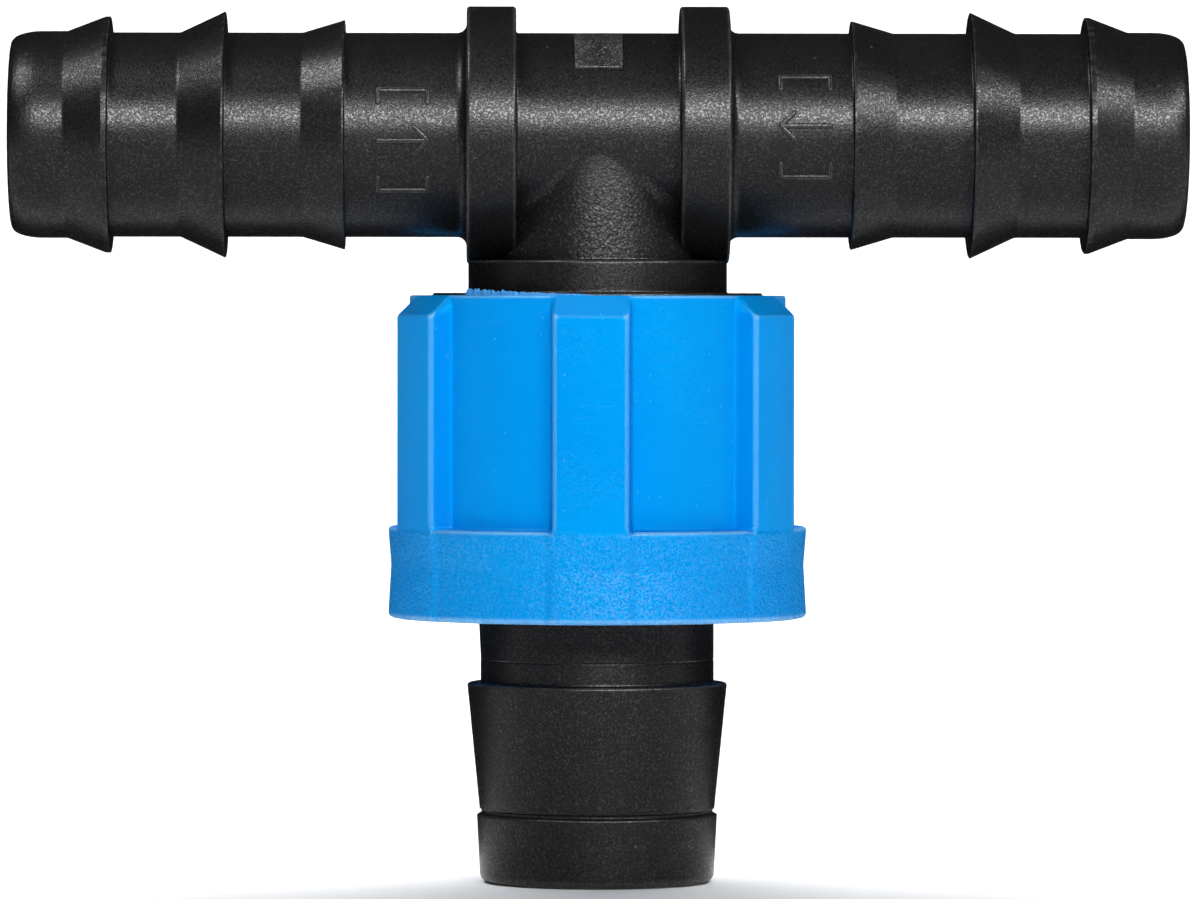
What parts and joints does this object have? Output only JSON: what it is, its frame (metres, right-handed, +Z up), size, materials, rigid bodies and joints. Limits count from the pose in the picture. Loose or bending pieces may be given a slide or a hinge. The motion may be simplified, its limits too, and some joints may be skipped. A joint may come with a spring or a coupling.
{
  "type": "union fitting",
  "caption": "Barbed hose tee whose downward branch carries a ribbed union nut and a swivelling tapered spigot for drip tape.",
  "frame": {"origin": "on the branch's axis, in the plane of the tape spigot's end face, which is the lowest point", "axes": "+X along the run of the tee, +Z up along the branch's axis towards the run, -Y towards the viewer of the side that carries the raised marks"},
  "size_m": [0.0772, 0.0278, 0.0578],
  "materials": {
    "black_polypropylene": "moulded satin black with fine grain",
    "blue_polypropylene": "moulded satin blue",
    "black_rubber": "matte"
  },
  "bodies": {
    "tee": {"tee_body": "black_polypropylene"},
    "seal": {"sealing_washer": "black_rubber"},
    "spigot": {"tape_spigot": "black_polypropylene"},
    "nut": {"union_nut": "blue_polypropylene"}
  },
  "joints": [
    {"name": "union_opening", "type": "slide", "parent": "seal", "child": "tee", "axis": [0, 0, 1], "range_m": [0, 0.006]},
    {"name": "nut_turn", "type": "hinge", "parent": "seal", "child": "nut", "pos_m": [0, 0, 0.0281], "axis": [0, 0, -1], "range_deg": [0, 720]},
    {"name": "spigot_swivel", "type": "hinge", "parent": "seal", "child": "spigot", "pos_m": [0, 0, 0.0238], "axis": [0, 0, -1], "continuous": true}
  ],
  "couplings": [
    {"joint": "nut_turn", "follows": "union_opening", "rad_per_m": 2094.4}
  ]
}
